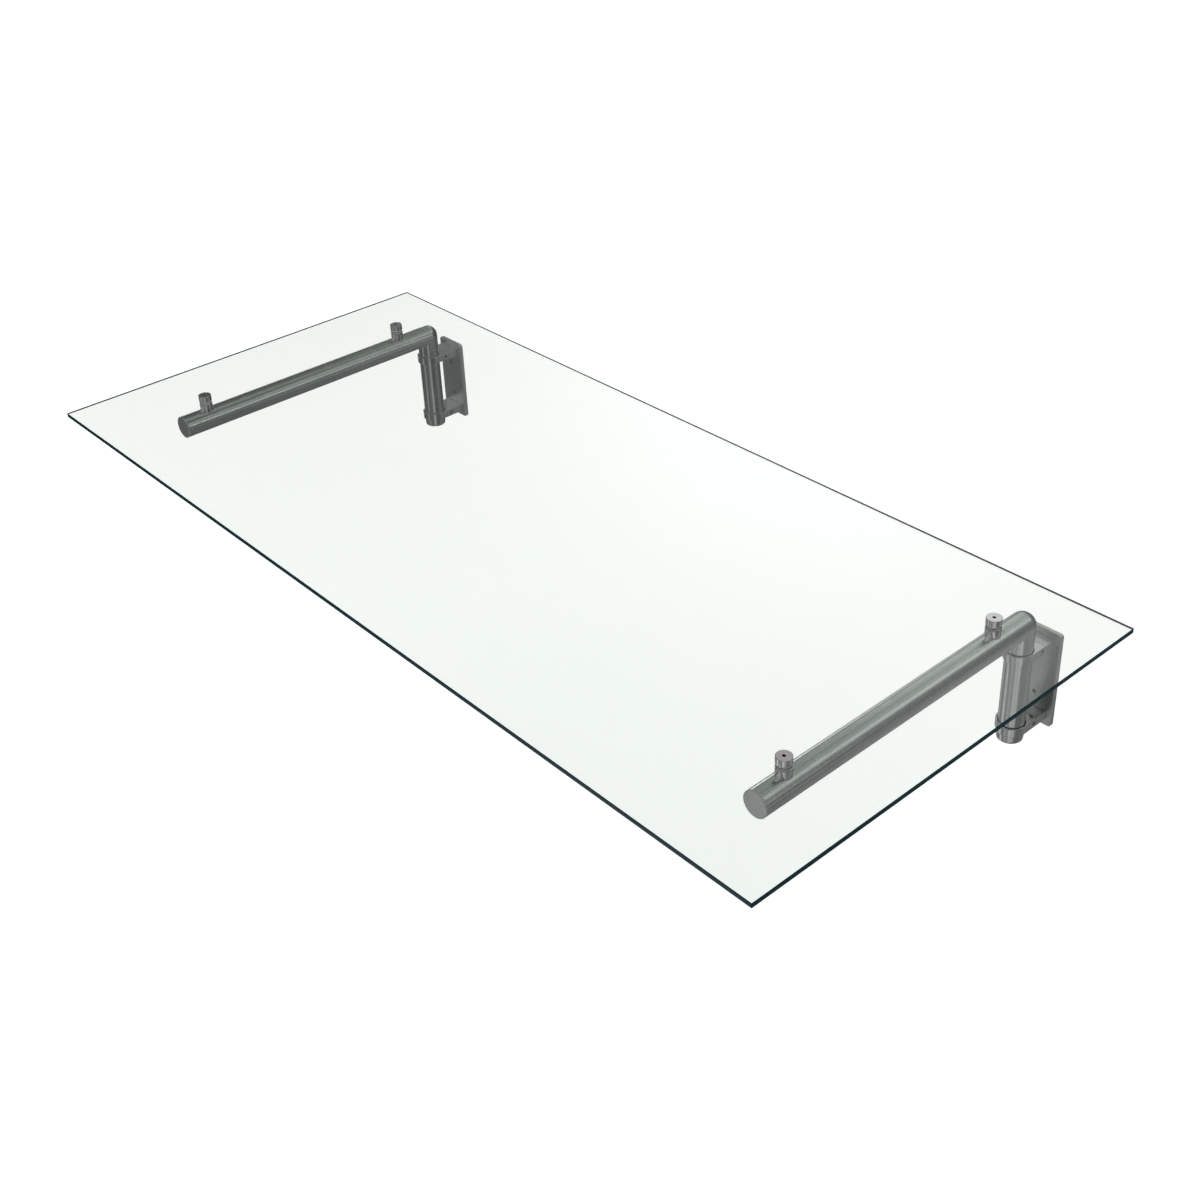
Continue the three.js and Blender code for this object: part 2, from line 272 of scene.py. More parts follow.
steel_along_y = brushed_steel(
    "steel_tube_y", (60, 2400, 60), STEEL_DARK, STEEL_LIGHT, STEEL_ROUGH, "Y", STRETCHED)
steel_along_z = brushed_steel(
    "steel_tube_z", (60, 60, 2400), STEEL_DARK, STEEL_LIGHT, STEEL_ROUGH, "Z", STRETCHED)
steel_ball = brushed_steel(
    "steel_elbow", (900, 900, 900), STEEL_DARK, STEEL_LIGHT, STEEL_ROUGH)
steel_end = brushed_steel(
    "steel_end", (900, 60, 60), (0.54, 0.56, 0.55), (0.68, 0.70, 0.69), (0.34, 0.46))
steel_plate = brushed_steel(
    "steel_plate", (2400, 60, 60), STEEL_DARK, STEEL_LIGHT, FLAT_ROUGH)
steel_lug = brushed_steel(
    "steel_lug", (60, 1800, 1800), STEEL_DARK, STEEL_LIGHT, FLAT_ROUGH)
steel_clamp = brushed_steel(
    "steel_clamp", (60, 60, 2400), STEEL_DARK, STEEL_LIGHT, STEEL_ROUGH)
steel_polished = brushed_steel(
    "steel_polished", (60, 60, 3000), (0.66, 0.645, 0.65), (0.76, 0.745, 0.75), (0.04, 0.12))
steel_turned = brushed_steel(
    "steel_turned", (900, 900, 60), (0.78, 0.755, 0.765), (0.88, 0.855, 0.865), (0.06, 0.16),
    "Z", STRETCHED)
# Dark steel: the real colour of the screws, studs and nuts, and also painted shade on the walls of
# the plate's fixing holes, on the clamps' bore chamfers and inside the caps' sockets
dark_steel_and_painted_shade = brushed_steel(
    "dark_steel_and_painted_shade", (900, 900, 900), (0.08, 0.082, 0.085), (0.14, 0.142, 0.146), (0.25, 0.45))


def ground_glass():
    """Wall of a hole drilled through the glass, left matt from grinding."""
    n = Nodes("ground_glass")
    grain = n.noise(2600.0, detail=3.0)
    n.link(n.ramp(grain, [(0.3, (0.84, 0.89, 0.87)), (0.7, (0.92, 0.95, 0.94))]),
           n.shader.inputs["Base Color"])
    n.link(n.span(grain, 0.5, 0.7), n.shader.inputs["Roughness"])
    n.bump(grain, strength=0.3, distance=0.03 * MM)
    return n.material


def gasket():
    """Clear soft washer, slightly milky."""
    n = Nodes("gasket_clear")
    grain = n.noise(2200.0, detail=2.0)
    n.link(n.ramp(grain, [(0.3, (0.86, 0.88, 0.87)), (0.7, (0.93, 0.95, 0.94))]),
           n.shader.inputs["Base Color"])
    n.link(n.span(grain, 0.2, 0.4), n.shader.inputs["Roughness"])
    n.shader.inputs["Transmission Weight"].default_value = 0.25
    n.shader.inputs["IOR"].default_value = 1.42
    n.bump(grain, strength=0.2, distance=0.04 * MM)
    return n.material


def nylon():
    """Natural, nearly white plastic."""
    n = Nodes("nylon")
    grain = n.noise(900.0, detail=2.0)
    n.link(n.ramp(grain, [(0.3, (0.84, 0.85, 0.83)), (0.7, (0.91, 0.92, 0.90))]),
           n.shader.inputs["Base Color"])
    n.link(n.span(grain, 0.35, 0.55), n.shader.inputs["Roughness"])
    n.bump(grain, strength=0.2, distance=0.05 * MM)
    return n.material


GLASS_IOR = 1.52


def clear_glass():
    """Slightly green float glass with a very faint waviness."""
    n = Nodes("clear_glass")
    n.shader.inputs["Transmission Weight"].default_value = 1.0
    n.shader.inputs["IOR"].default_value = GLASS_IOR
    waves = n.noise(9.0, detail=1.0)
    n.link(n.ramp(waves, [(0.2, (0.914, 0.958, 0.928)), (0.8, (0.922, 0.964, 0.935))]),
           n.shader.inputs["Base Color"])
    n.link(n.span(n.noise(60.0, detail=2.0), 0.0, 0.01), n.shader.inputs["Roughness"])
    n.bump(waves, strength=0.02, distance=0.2 * MM)
    return n.material


def glass_edge():
    """Ground and polished edge, where the glass's own colour gathers."""
    n = Nodes("glass_edge")
    lines = n.noise(1.0, (40, 40, 1600), detail=3.0)
    n.link(n.ramp(lines, [(0.25, (0.001, 0.016, 0.023)), (0.75, (0.005, 0.036, 0.046))]),
           n.shader.inputs["Base Color"])
    n.shader.inputs["IOR"].default_value = GLASS_IOR
    n.shader.inputs["Specular IOR Level"].default_value = 0.08
    n.link(n.span(lines, 0.08, 0.2), n.shader.inputs["Roughness"])
    return n.material


gasket_material = gasket()
nylon_material = nylon()
glass_material = clear_glass()
edge_material = glass_edge()
ground_material = ground_glass()

# ---------------------------------------------------------------- mesh tools


def circle(radius, count):
    angles = [2 * math.pi * i / count for i in range(count)]
    return [(radius * math.cos(a), radius * math.sin(a)) for a in angles]


def supported(points, closed=False):
    """Adds a point close to both ends of each long straight run, which keeps its shading flat."""
    result = []
    for first, second in zip(points, points[1:] + points[:1] if closed else points[1:]):
        result.append(first)
        length = math.dist(first, second)
        if length > LONG_RUN:
            for t in (SUPPORT / length, 1 - SUPPORT / length):
                result.append(tuple(a + (b - a) * t for a, b in zip(first, second)))
    return result if closed else result + [points[-1]]


def join_rings(bm, first, second):
    """Smooth faces between two closed rings of as many vertices."""
    count = len(first)
    for i in range(count):
        j = (i + 1) % count
        bm.faces.new((first[i], first[j], second[j], second[i])).smooth = True


def turned(profile, count=TUBE_SEGMENTS, close=False):
    """Solid of revolution about Z. Points are (radius, height); radius may be a list of radii, one
    for each angle. Each end is closed with one face, or close joins the ends."""
    bm = bmesh.new()
    rings = []
    if not any(isinstance(radius, list) for radius, height in profile):
        profile = supported(profile)
    for radius, height in profile:
        radii = radius if isinstance(radius, list) else [radius] * count
        rings.append([
            bm.verts.new((radii[i] * math.cos(2 * math.pi * i / count),
                          radii[i] * math.sin(2 * math.pi * i / count), height))
            for i in range(count)])
    for first, second in zip(rings, rings[1:]):
        join_rings(bm, first, second)
    if close:
        join_rings(bm, rings[-1], rings[0])
    else:
        bm.faces.new(reversed(rings[0]))
        bm.faces.new(rings[-1])
    return bm


def with_supports(levels):
    """Repeats the outline close to both ends of each tall step between two levels."""
    result = []
    for (low, first), (high, second) in zip(levels, levels[1:]):
        result.append((low, first))
        if high - low > LONG_RUN:
            for t in (SUPPORT / (high - low), 1 - SUPPORT / (high - low)):
                result.append((low + (high - low) * t, [
                    [tuple(a + (b - a) * t for a, b in zip(p, q)) for p, q in zip(below, above)]
                    for below, above in zip(first, second)]))
    return result + levels[-1:]


def stacked(levels):
    """Solid from outlines at rising heights: each level is (height, [outer loop, hole loops...]),
    with loops of matching lengths. The first and last levels are filled."""
    bm = bmesh.new()
    built = []
    levels = [(height, [supported(loop, True) for loop in loops]) for height, loops in levels]
    levels = with_supports(levels)
    for height, loops in levels:
        built.append([[bm.verts.new((x, y, height)) for x, y in loop] for loop in loops])
    for below, above in zip(built, built[1:]):
        for first, second in zip(below, above):
            join_rings(bm, first, second)
    for level, up in ((built[0], -1), (built[-1], 1)):
        edges = []
        for loop in level:
            for a, b in zip(loop, loop[1:] + loop[:1]):
                edges.append(bm.edges.get((a, b)))
        filled = bmesh.ops.triangle_fill(bm, use_beauty=True, edges=edges, normal=(0, 0, up))
        for face in filled["geom"]:
            face.smooth = False
    return bm


def add_piece(name, bm, material, node, place=None, extras=()):
    """Turns a mesh into the named piece that stands for a CAD node. Faces with material index 0 get
    material, and the others get the extras in turn."""
    bmesh.ops.remove_doubles(bm, verts=bm.verts, dist=SAME_POINT)
    bmesh.ops.recalc_face_normals(bm, faces=bm.faces)
    if place is not None:
        bm.transform(place)
    mesh = bpy.data.meshes.new(name)
    bm.to_mesh(mesh)
    bm.free()
    smooth = [polygon.use_smooth for polygon in mesh.polygons]
    mesh.set_sharp_from_angle(angle=SHARP_ANGLE)
    mesh.polygons.foreach_set("use_smooth", smooth)
    for each in (material, *extras):
        mesh.materials.append(each)
    piece = bpy.data.objects.new(name, mesh)
    bpy.context.scene.collection.objects.link(piece)
    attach(piece, "root")
    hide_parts(node)


def middle(node):
    low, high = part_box(node)
    return (low + high) / 2


def tube_radius(side):
    low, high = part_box(f"{side}_arm_tube")
    return (high.x - low.x) / 2


def along_y(x, y, z):
    """Places a shape made along +Z so that it runs along +Y from the point given."""
    return Matrix.Translation((x, y, z)) @ Matrix.Rotation(-math.pi / 2, 4, "X")


def bevelled_edge(radius, size, steps=3):
    """Quarter-round profile points at the lower outer rim of a solid that rises from height 0."""
    points = []
    for i in range(steps + 1):
        a = math.pi / 2 * i / steps
        points.append((radius - size * (1 - math.sin(a)), size * (1 - math.cos(a))))
    return points


# ---------------------------------------------------------------- glass panel


def rounded_outline(low, high, radius, inset=0.0, steps=6):
    """Rectangle with round corners, drawn in by inset."""
    x0, y0, x1, y1 = low[0] + inset, low[1] + inset, high[0] - inset, high[1] - inset
    r = radius - inset
    points = []
    for cx, cy, start in ((x1 - r, y1 - r, 0), (x0 + r, y1 - r, 90), (x0 + r, y0 + r, 180),
                          (x1 - r, y0 + r, 270)):
        for i in range(steps + 1):
            a = math.radians(start + 90 * i / steps)
            points.append((cx + r * math.cos(a), cy + r * math.sin(a)))
    return points


def shifted(loop, x, y):
    return [(px + x, py + y) for px, py in loop]


def add_glass():
    low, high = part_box("glass_panel")
    centres = [middle(f"{side}_{end}_stud") for side in SIDES for end in ENDS]

    def level(inset, height):
        loops = [rounded_outline(low, high, PANEL_CORNER, inset)]
        for c in centres:
            loops.append(shifted(circle(PANEL_HOLE_RADIUS + inset, HOLE_SEGMENTS), c.x, c.y))
        return height, loops

    arris = PANEL_ARRIS
    bend = arris * SHOULDER
    bm = stacked([
        level(arris, low.z), level(bend, low.z + bend), level(0, low.z + arris),
        level(0, high.z - arris), level(bend, high.z - bend), level(arris, high.z)])
    bm.normal_update()
    # Index 0 is the clear top and bottom, 1 the outer edge and 2 the walls of the holes
    for face in bm.faces:
        place = face.calc_center_median()
        nearest = min(math.hypot(place.x - c.x, place.y - c.y) for c in centres)
        if abs(face.normal.z) > LEVEL_FACE:
            face.material_index = 0
        else:
            face.material_index = 2 if nearest < 2 * PANEL_HOLE_RADIUS else 1
    add_piece("glass_sheet", bm, glass_material, "glass_panel",
              extras=(edge_material, ground_material))


# ---------------------------------------------------------------- tubes and elbow


def tube_profile(outer, length):
    """Cross-section of a tube's wall, for turning."""
    inner, lip = outer - TUBE_WALL, TUBE_LIP
    return [(inner, lip), (inner + lip, 0), (outer - lip, 0), (outer, lip),
            (outer, length - lip), (outer - lip, length), (inner + lip, length),
            (inner, length - lip)]


def add_arm(side):
    """Arm tube along Y, and the disc that closes its front end."""
    low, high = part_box(f"{side}_arm_tube")
    axis = middle(f"{side}_arm_tube")
    radius = tube_radius(side)
    add_piece(f"{side}_arm", turned(tube_profile(radius, high.y - low.y), close=True),
              steel_along_y, f"{side}_arm_tube", along_y(axis.x, low.y, axis.z))

    plug_low, plug_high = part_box(f"{side}_arm_plug")
    disc = low.y - plug_low.y
    spigot = radius - TUBE_WALL - FIT
    profile = [(DISC_CENTRE, 0.0)] + bevelled_edge(radius, ARM_END_EDGE)
    profile += [(radius, disc - ARM_END_GAP), (radius - FIT, disc - ARM_END_GAP),
                (spigot, disc), (spigot, plug_high.y - plug_low.y)]
    add_piece(f"{side}_arm_end", turned(profile), steel_end, f"{side}_arm_plug",
              along_y(axis.x, plug_low.y, axis.z))


def add_post(side):
    """Upright tube, and the wider cap that closes its lower end."""
    low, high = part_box(f"{side}_post_tube")
    axis = middle(f"{side}_post_tube")
    radius = tube_radius(side)
    add_piece(f"{side}_post", turned(tube_profile(radius, high.z - low.z), close=True),
              steel_along_z, f"{side}_post_tube",
              Matrix.Translation((axis.x, axis.y, low.z)))

    cap_low, cap_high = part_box(f"{side}_post_cap")
    cap_radius = (cap_high.x - cap_low.x) / 2
    disc = low.z - cap_low.z - FIT
    spigot = radius - TUBE_WALL - FIT
    profile = [(DISC_CENTRE, 0.0)] + bevelled_edge(cap_radius, POST_END_EDGE)
    profile += [(cap_radius, disc - FIT), (cap_radius - FIT, disc),
                (spigot, disc), (spigot, cap_high.z - cap_low.z)]
    add_piece(f"{side}_post_end", turned(profile), steel_along_z, f"{side}_post_cap",
              Matrix.Translation((axis.x, axis.y, cap_low.z)))


def add_elbow(side):
    """Ball corner from the arm to the upright. Each row of points runs from the arm's end to the
    upright's. Above the axes it turns round the ball, and below them it meets in a mitre."""
    post, arm = middle(f"{side}_post_tube"), middle(f"{side}_arm_tube")
    radius = tube_radius(side)
    inner, rim = radius - TUBE_WALL, radius - TUBE_LIP
    corner = Vector((arm.x, post.y, arm.z))
    reach = corner.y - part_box(f"{side}_arm_tube")[1].y - FIT
    drop = corner.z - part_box(f"{side}_post_tube")[1].z - FIT
    bm = bmesh.new()
    rows = []
    for x, s in circle(1.0, TUBE_SEGMENTS):
        row = [(x * inner, -reach, s * inner), (x * rim, -reach, s * rim),
               (x * radius, -reach + TUBE_LIP, s * radius)]
        for step in range(ELBOW_STEPS + 1):
            t = math.pi / 2 * step / ELBOW_STEPS
            if s < 0:
                row.append((x * radius, s * radius, s * radius))
            else:
                row.append((x * radius, s * radius * math.sin(t), s * radius * math.cos(t)))
        row += [(x * radius, s * radius, -drop + TUBE_LIP), (x * rim, s * rim, -drop),
                (x * inner, s * inner, -drop)]
        rows.append([bm.verts.new(point) for point in row])
    for first, second in zip(rows, rows[1:] + rows[:1]):
        for k in range(len(first) - 1):
            bm.faces.new((first[k], first[k + 1], second[k + 1], second[k])).smooth = True
    bm.faces.new([row[0] for row in rows])
    bm.faces.new([row[-1] for row in reversed(rows)])
    bmesh.ops.remove_doubles(bm, verts=bm.verts, dist=ELBOW_MERGE)
    bmesh.ops.dissolve_degenerate(bm, edges=bm.edges, dist=ELBOW_MERGE)
    add_piece(f"{side}_elbow_ball", bm, steel_ball, f"{side}_elbow",
              Matrix.Translation(corner))


# ---------------------------------------------------------------- wall plate and lugs


def add_wall_plate(side):
    low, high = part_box(f"{side}_wall_plate")
    centre = middle(f"{side}_wall_plate")
    half_w, half_h, thick = (high.x - low.x) / 2, (high.z - low.z) / 2, high.y - low.y

    def level(height, inset, hole_extra, tie):
        loops = [rounded_outline((-half_w, -half_h), (half_w, half_h), PLATE_CORNER, inset, 8)]
        for z in FIXING_HOLES_Z:
            loops.append(shifted(circle(FIXING_HOLE_RADIUS + hole_extra, HOLE_SEGMENTS), 0, z))
        for z in TIE_BORES_Z:
            loops.append(shifted(circle(tie, HOLE_SEGMENTS), 0, z))
        return height, loops

    # The tie bores are countersunk from the back for the screws' heads
    countersunk = PLATE_BACK_EDGE + TIE_HEAD_RADIUS - TIE_BORE_RADIUS
    bend = PLATE_EDGE * SHOULDER
    bm = stacked([
        level(0, PLATE_BACK_EDGE, FIXING_HOLE_BACK_RIM, TIE_HEAD_RADIUS),
        level(PLATE_BACK_EDGE, 0, 0, TIE_HEAD_RADIUS),
        level(countersunk, 0, 0, TIE_BORE_RADIUS),
        level(thick - PLATE_EDGE, 0, 0, TIE_BORE_RADIUS),
        level(thick - bend, bend, FIXING_HOLE_RIM * SHOULDER, TIE_BORE_RADIUS),
        level(thick, PLATE_EDGE, FIXING_HOLE_RIM, TIE_BORE_RADIUS)])
    # Little light reaches the walls of the fixing holes, so they take the dark steel
    reach = FIXING_HOLE_RADIUS + FIXING_HOLE_RIM
    for face in bm.faces:
        place = face.calc_center_median()
        if any(math.hypot(place.x, place.y - z) < reach for z in FIXING_HOLES_Z):
            face.material_index = 1
    # Made lying down with its front up, then stood against the wall
    stand = Matrix.Translation((centre.x, high.y, centre.z)) @ Matrix.Rotation(math.pi / 2, 4, "X")
    add_piece(f"{side}_plate", bm, steel_plate, f"{side}_wall_plate", stand,
              extras=(dark_steel_and_painted_shade,))


def add_lug_block(name):
    low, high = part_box(f"{name}_lug_block")
    centre = (low + high) / 2
    bm = bmesh.new()
    bmesh.ops.create_cube(bm, size=1.0, matrix=Matrix.Translation(centre)
                          @ Matrix.Diagonal((*(high - low), 1.0)))
    bmesh.ops.bevel(bm, geom=list(bm.edges), offset=LUG_EDGE, segments=3, profile=0.5,
                    affect="EDGES")
    for face in bm.faces:
        face.smooth = face.calc_area() < LUG_SMALL_FACE
    add_piece(f"{name}_lug", bm, steel_lug, f"{name}_lug_block")


def add_ring_clamp(side, name):
    """Ring round the upright, round in front and flat behind, with a bore for the set screw."""
    low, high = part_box(f"{name}_ring_clamp")
    post = middle(f"{side}_post_tube")
    half, height = (high.x - low.x) / 2, high.z - low.z
    rear = high.y - post.y

    def level(z, inset, extra):
        r = half - inset
        arc = [(r * math.cos(math.radians(a)), r * math.sin(math.radians(a)))
               for a in [180 + 180 * i / ARC_STEPS for i in range(ARC_STEPS + 1)]]
        outline = arc + [(r, rear - inset), (-r, rear - inset)]
        return z, [outline, circle(CLAMP_BORE_RADIUS + extra, TUBE_SEGMENTS)]

    edge, bend = CLAMP_EDGE, CLAMP_EDGE * SHOULDER
    lead, lead_bend = CLAMP_LEAD_IN, CLAMP_LEAD_IN * CLAMP_LEAD_IN_BEND
    bm = stacked([
        level(0, edge, lead), level(bend, bend, lead_bend), level(edge, 0, 0),
        level(height - edge, 0, 0), level(height - bend, bend, lead_bend),
        level(height, edge, lead)])
    screw = middle(f"{name}_set_screw")
    cut_side_hole(bm, half, screw.y - post.y, height / 2)
    bm.normal_update()
    # The chamfers of the bore take the dark steel as painted shade, which draws a dark seam round
    # the upright where the clamp meets it
    for face in bm.faces:
        place = face.calc_center_median()
        sloping = abs(face.normal.z) > SLOPING_FACE
        if sloping and math.hypot(place.x, place.y) < CLAMP_BORE_RADIUS + lead:
            face.material_index = 1
    add_piece(f"{name}_clamp", bm, steel_clamp, f"{name}_ring_clamp",
              Matrix.Translation((post.x, post.y, low.z)), extras=(dark_steel_and_painted_shade,))


def cut_side_hole(bm, x, y, z):
    """Opens the set screw's blind bore, with a chamfered rim, in the flat face at +X."""
    bm.normal_update()
    face = max((f for f in bm.faces if f.normal.x > LEVEL_FACE), key=lambda f: f.calc_area())
    edges = list(face.edges)
    bm.faces.remove(face)
    rings = []
    for r, back in ((SET_BORE_RADIUS + SET_BORE_RIM, 0), (SET_BORE_RADIUS, SET_BORE_RIM),
                    (SET_BORE_RADIUS, SET_BORE_DEPTH)):
        rings.append([bm.verts.new((x - back, y + u, z + v))
                      for u, v in circle(r, SIDE_HOLE_SEGMENTS)])
    for first, second in zip(rings, rings[1:]):
        join_rings(bm, first, second)
    bm.faces.new(rings[-1])
    rim = [bm.edges.get((a, b)) for a, b in zip(rings[0], rings[0][1:] + rings[0][:1])]
    filled = bmesh.ops.triangle_fill(bm, use_beauty=True, edges=edges + rim, normal=(1, 0, 0))
    for face in filled["geom"]:
        face.smooth = False


# ---------------------------------------------------------------- pegs


def hexagon(size, count):
    """Radius of a hexagon, size across its corners / 2, at each angle."""
    radii = []
    for i in range(count):
        a = (2 * math.pi * i / count) % (math.pi / 3) - math.pi / 6
        radii.append(size * math.cos(math.pi / 6) / math.cos(a))
    return radii


def add_peg_body(side, name, axis):
    """Peg with its foot cut to sit on the arm."""
    low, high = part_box(f"{name}_peg_body")
    arm = middle(f"{side}_arm_tube")
    radius, bore = (high.x - low.x) / 2, PEG_BORE_RADIUS
    seat = tube_radius(side) + SADDLE_GAP
    top = high.z - arm.z

    def saddle(r, lift=0.0):
        return [math.sqrt(seat ** 2 - x ** 2) + lift for x, y in circle(r, PEG_SEGMENTS)]

    def flat(height):
        return [height] * PEG_SEGMENTS

    halfway = (bore + radius) / 2
    bend = PEG_EDGE * SHOULDER
    bm = bmesh.new()
    rings = []
    for r, heights in (
            (bore, saddle(bore)), (halfway, saddle(halfway)),
            (radius - SADDLE_EDGE, saddle(radius - SADDLE_EDGE)),
            (radius, saddle(radius, SADDLE_EDGE)), (radius, saddle(radius, SADDLE_EDGE + SUPPORT)),
            (radius, flat(top - PEG_EDGE - SUPPORT)), (radius, flat(top - PEG_EDGE)),
            (radius - bend, flat(top - bend)), (radius - PEG_EDGE, flat(top)), (bore, flat(top))):
        ring = zip(circle(r, PEG_SEGMENTS), heights)
        rings.append([bm.verts.new((x, y, height)) for (x, y), height in ring])
    for first, second in zip(rings, rings[1:] + rings[:1]):
        join_rings(bm, first, second)
    add_piece(f"{name}_post", bm, steel_polished, f"{name}_peg_body",
              Matrix.Translation((axis.x, axis.y, arm.z)))


def add_peg_cap(name, axis):
    """Cap over the glass, with a turned top and a hexagon socket."""
    low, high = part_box(f"{name}_peg_cap")
    radius, height = (high.x - low.x) / 2, high.z - low.z
    socket = hexagon(SOCKET_RADIUS, PEG_SEGMENTS)
    socket_rim = [r + SOCKET_RIM for r in socket]
    floor = height - SOCKET_DEPTH
    bend = PEG_EDGE * SHOULDER
    bm = turned(
        [(DISC_CENTRE, 0.0)] + bevelled_edge(radius, CAP_LOWER_EDGE, 2)
        + [(radius, CAP_LOWER_EDGE + SUPPORT), (radius, height - PEG_EDGE - SUPPORT),
           (radius, height - PEG_EDGE), (radius - bend, height - bend),
           (radius - PEG_EDGE, height), (radius - PEG_EDGE - SUPPORT, height),
           (radius * CAP_TOP_RING, height), (socket_rim, height), (socket, height - SOCKET_RIM),
           (socket, floor), (SOCKET_CENTRE, floor - SOCKET_POINT)],
        PEG_SEGMENTS)
    bm.normal_update()
    # Index 1 is the turned top, and 2 the inside of the socket, in dark steel as painted shade
    for face in bm.faces:
        place = face.calc_center_median()
        sunk = place.z < height - SOCKET_SHADE
        if sunk and math.hypot(place.x, place.y) < SOCKET_REACH * SOCKET_RADIUS:
            face.material_index = 2
        elif face.normal.z > LEVEL_FACE:
            face.material_index = 1
    add_piece(f"{name}_cap", bm, steel_polished, f"{name}_peg_cap",
              Matrix.Translation((axis.x, axis.y, low.z)), extras=(steel_turned, dark_steel_and_painted_shade))


def add_gasket(name, which, axis):
    node = f"{name}_{which}_gasket"
    low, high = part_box(node)
    bore, outer, thick = PEG_BORE_RADIUS, (high.x - low.x) / 2, high.z - low.z
    inset = outer - GASKET_EDGE
    profile = [(bore, 0), (inset, 0), (outer, thick * SHOULDER), (outer, thick * (1 - SHOULDER)),
               (inset, thick), (bore, thick)]
    add_piece(f"{name}_{which}_seal", turned(profile, PEG_SEGMENTS, close=True), gasket_material,
              node, Matrix.Translation((axis.x, axis.y, low.z)))


def add_peg(side, end):
    name = f"{side}_{end}"
    axis = middle(f"{name}_stud")
    add_peg_body(side, name, axis)
    add_peg_cap(name, axis)
    for which in ("lower", "upper"):
        add_gasket(name, which, axis)


# ---------------------------------------------------------------- build

add_glass()
for side in SIDES:
    add_arm(side)
    add_post(side)
    add_elbow(side)
    add_wall_plate(side)
    for which in LEVELS:
        add_lug_block(f"{side}_{which}")
        add_ring_clamp(side, f"{side}_{which}")
    for end in ENDS:
        add_peg(side, end)

# Pieces kept as packed, because they lie inside or show very little: name ending, material
CARRIED = {"tie_screw": dark_steel_and_painted_shade, "set_screw": dark_steel_and_painted_shade, "stud": dark_steel_and_painted_shade,
           "nut": dark_steel_and_painted_shade, "sleeve": nylon_material}
for node_name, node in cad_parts.items():
    for ending, material in CARRIED.items():
        if node_name.endswith(ending):
            node.data.materials.clear()
            node.data.materials.append(material)

# ---------------------------------------------------------------- stage and light

FLOOR_DROP = 0.75                         # below the brackets
FLOOR_SIZE = 60.0
FLOOR_TONES = [(0.0, (0.90,) * 3), (1.0, (0.92,) * 3)]
# The floor glows a little, which keeps it evenly pale. The glow at two places along X is
# (x, brightness).
GLOW_FAR = (-3.0, 0.79)
GLOW_NEAR = (0.4, 0.61)


def add_floor():
    n = Nodes("floor_paint")
    speckle = n.noise(30.0, detail=2.0)
    n.link(n.ramp(speckle, FLOOR_TONES), n.shader.inputs["Base Color"])
    n.shader.inputs["Roughness"].default_value = 0.9
    n.shader.inputs["Specular IOR Level"].default_value = 0.1
    n.shader.inputs["Emission Color"].default_value = (1, 1, 1, 1)
    along = n.add("ShaderNodeSeparateXYZ")
    n.link(n.where(), along.inputs["Vector"])
    glow = n.span(along.outputs["X"], GLOW_FAR[1], GLOW_NEAR[1], GLOW_FAR[0], GLOW_NEAR[0])
    n.link(glow, n.shader.inputs["Emission Strength"])
    # The studio, not the floor, shows in the steel
    path = n.add("ShaderNodeLightPath")
    reflected = n.add("ShaderNodeMath", operation="GREATER_THAN")
    n.link(path.outputs["Glossy Depth"], reflected.inputs[0])
    clear = n.add("ShaderNodeBsdfTransparent")
    either = n.add("ShaderNodeMixShader")
    n.link(reflected.outputs["Value"], either.inputs["Fac"])
    n.link(n.shader.outputs["BSDF"], either.inputs[1])
    n.link(clear.outputs["BSDF"], either.inputs[2])
    n.link(either.outputs["Shader"], n.output.inputs["Surface"])
    bm = bmesh.new()
    bmesh.ops.create_grid(bm, x_segments=1, y_segments=1, size=FLOOR_SIZE / 2)
    mesh = bpy.data.meshes.new("floor")
    bm.to_mesh(mesh)
    bm.free()
    mesh.materials.append(n.material)
    floor = bpy.data.objects.new("floor", mesh)
    floor.location.z = cad_low.z - FLOOR_DROP
    bpy.context.scene.collection.objects.link(floor)


# Brightness of the bare studio by height: degrees above the horizon, and the level there
STUDIO_LEVELS = ((-90, 0.15), (-58, 0.15), (-38, 0.20), (-25, 0.03), (-10, 0.03), (5, 0.05),
                 (25, 0.08), (60, 0.15), (90, 0.80))
# Soft lamps: degrees clockwise from +Y, degrees above the horizon, half width, brightness
LAMPS = ((34, 37, 11, 1.00), (320, 25, 10, 1.00), (336, 40, 12, 0.60), (300, 2, 8, 3.00),
         (66, 12, 9, 1.80), (58, 34, 10, 0.65), (8, 45, 11, 0.50), (20, 64, 12, 0.15),
         (200, 38, 28, 0.80), (126, -31, 9, 0.65), (150, -42, 10, 0.60), (183, -40, 9, 0.30),
         (226, -42, 9, 0.80), (285, -42, 14, 0.20), (191, -23, 8, 0.45), (38, -24, 12, 0.12),
         (277, -22, 9, 1.40), (10, -48, 14, 0.10), (60, -16, 10, 0.35), (313, -12, 8, 0.80),
         (262, 40, 16, 0.20), (103, 20, 22, 0.50), (150, 24, 24, 0.50), (243, 22, 20, 0.50))
STUDIO_STRENGTH = 1.0
BACKDROP = 1.0                            # brightness of the plain background behind the object


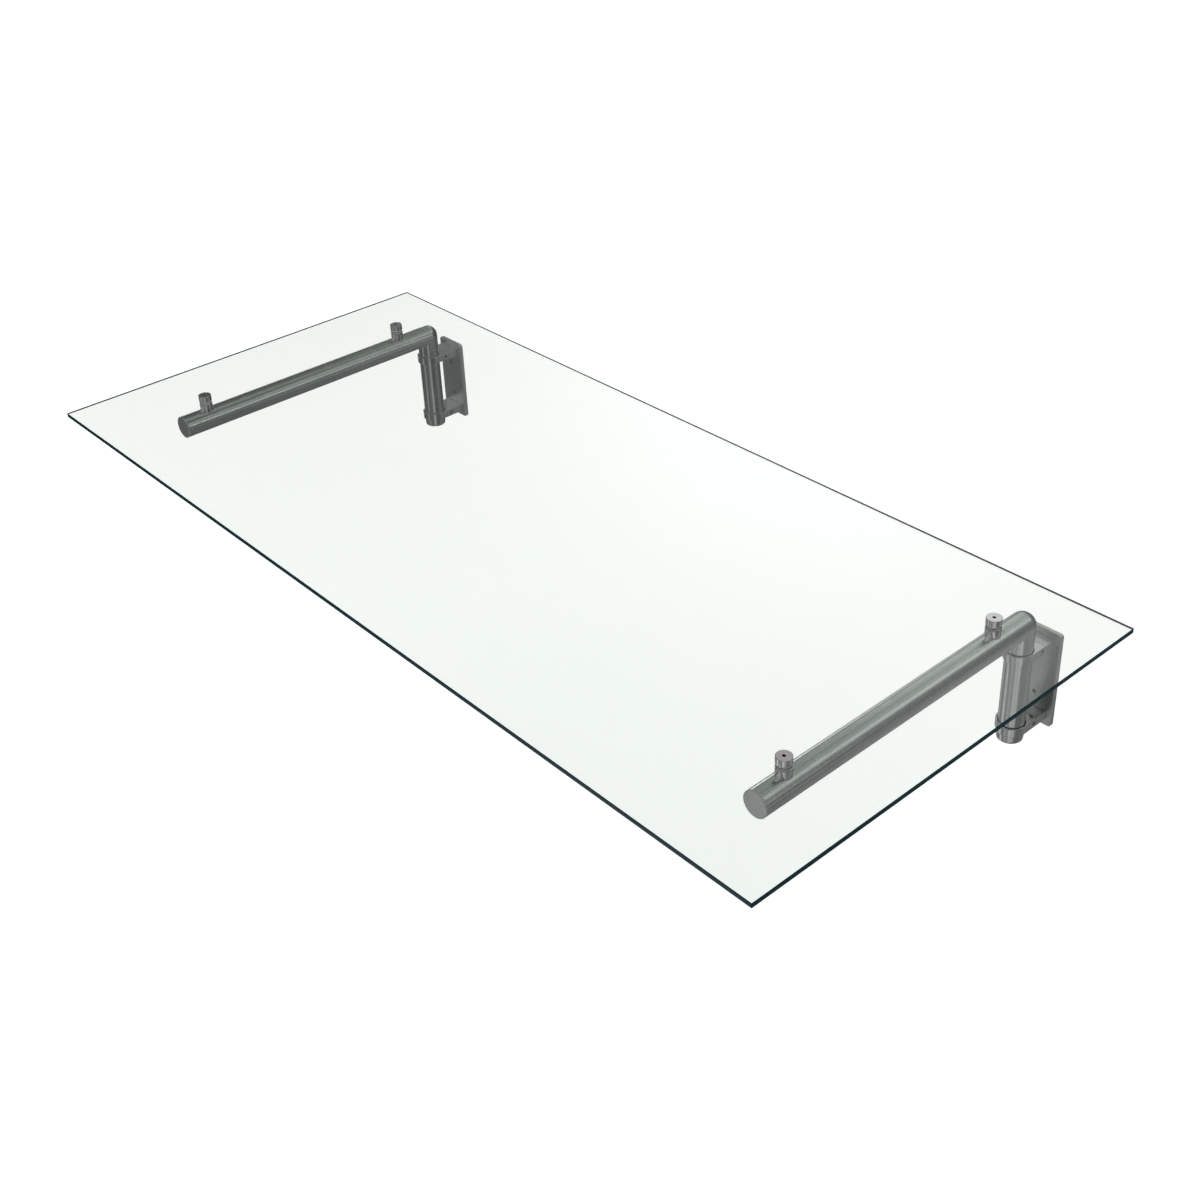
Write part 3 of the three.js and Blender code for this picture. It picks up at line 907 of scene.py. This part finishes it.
def add_studio():
    """World light: a dim room with soft lamps standing round the object."""
    world = bpy.data.worlds.new("studio")
    bpy.context.scene.world = world
    world.use_nodes = True
    tree = world.node_tree

    def calculate(operation, first, second, third=0.0):
        node = tree.nodes.new("ShaderNodeMath")
        node.operation = operation
        for socket, value in zip(node.inputs, (first, second, third)):
            if isinstance(value, (int, float)):
                socket.default_value = value
            else:
                tree.links.new(value, socket)
        return node.outputs["Value"]

    direction = tree.nodes.new("ShaderNodeTexCoord").outputs["Generated"]
    split = tree.nodes.new("ShaderNodeSeparateXYZ")
    tree.links.new(direction, split.inputs["Vector"])
    room = tree.nodes.new("ShaderNodeValToRGB")
    elements = room.color_ramp.elements
    while len(elements) < len(STUDIO_LEVELS):
        elements.new(0.5)
    for element, (height, level) in zip(elements, STUDIO_LEVELS):
        element.position = (math.sin(math.radians(height)) + 1) / 2
        element.color = (level, level, level, 1)
    tree.links.new(calculate("MULTIPLY_ADD", split.outputs["Z"], 0.5, 0.5), room.inputs["Fac"])
    total = room.outputs["Color"]
    for heading, height, width, brightness in LAMPS:
        heading, height, width = (math.radians(angle) for angle in (heading, height, width))
        dot = tree.nodes.new("ShaderNodeVectorMath")
        dot.operation = "DOT_PRODUCT"
        tree.links.new(direction, dot.inputs[0])
        dot.inputs[1].default_value = (math.sin(heading) * math.cos(height),
                                       math.cos(heading) * math.cos(height), math.sin(height))
        # A bell curve: 2 (1 - dot) is nearly the square of the angle from the lamp's middle
        falloff = calculate("EXPONENT", calculate(
            "MULTIPLY_ADD", dot.outputs["Value"], 2 / width ** 2, -2 / width ** 2), 0.0)
        total = calculate("MULTIPLY_ADD", falloff, brightness, total)
    # Seen straight on, or through the glass, the room is a plain pale backdrop
    path = tree.nodes.new("ShaderNodeLightPath")
    bounces = calculate("ADD", path.outputs["Glossy Depth"], path.outputs["Diffuse Depth"])
    through = calculate("MULTIPLY", path.outputs["Is Transmission Ray"],
                        calculate("LESS_THAN", bounces, 0.5))
    seen = calculate("MAXIMUM", path.outputs["Is Camera Ray"], through)
    room_part = calculate("MULTIPLY", total, calculate("SUBTRACT", 1.0, seen))
    total = calculate("MULTIPLY_ADD", seen, BACKDROP, room_part)
    background = tree.nodes["Background"]
    tree.links.new(total, background.inputs["Color"])
    background.inputs["Strength"].default_value = STUDIO_STRENGTH


add_studio()
add_floor()
bpy.context.scene.view_settings.view_transform = "Standard"
